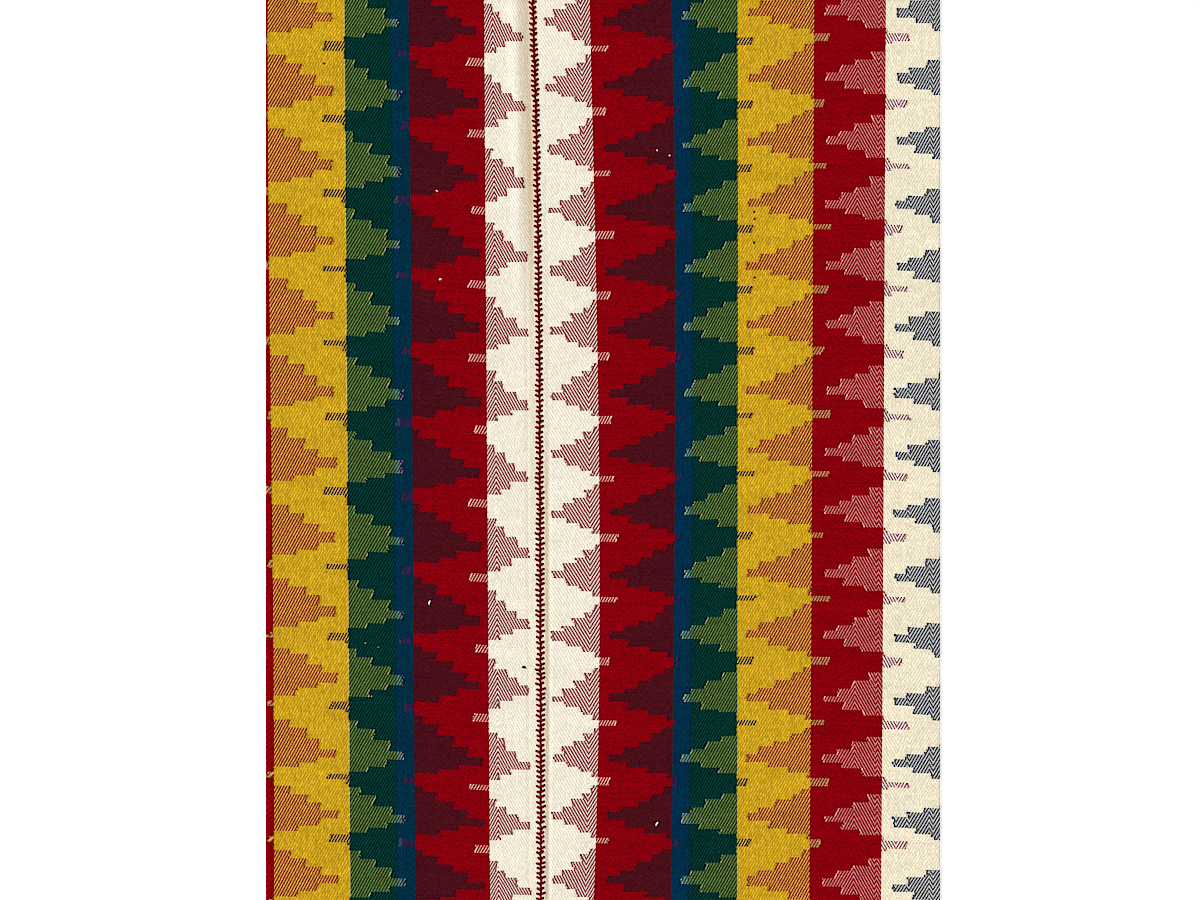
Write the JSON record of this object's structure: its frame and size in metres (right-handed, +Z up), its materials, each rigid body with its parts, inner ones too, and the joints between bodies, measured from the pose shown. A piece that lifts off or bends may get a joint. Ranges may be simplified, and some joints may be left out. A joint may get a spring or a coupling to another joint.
{
  "type": "flatweave rug",
  "caption": "Flat wool twill rug length of a narrow and a wide panel laced edge to edge, with stepped zigzag stripes and a plain turned hem at each end.",
  "frame": {"origin": "on the surface that the rug lies on, under the middle of its outline", "axes": "+X across the rug along the weft, from the narrow panel to the wide one; +Y along the warp and the seam, up in the picture; +Z up out of the face"},
  "size_m": [0.728, 1, 0.0055],
  "materials": {
    "left_panel": "matte handspun wool twill in red, yellow, green, blue and cream",
    "right_panel": "matte handspun wool twill in cream, red, navy, green and yellow"
  },
  "bodies": {
    "root": {"left_panel": "left_panel", "right_panel": "right_panel"}
  },
  "joints": []
}
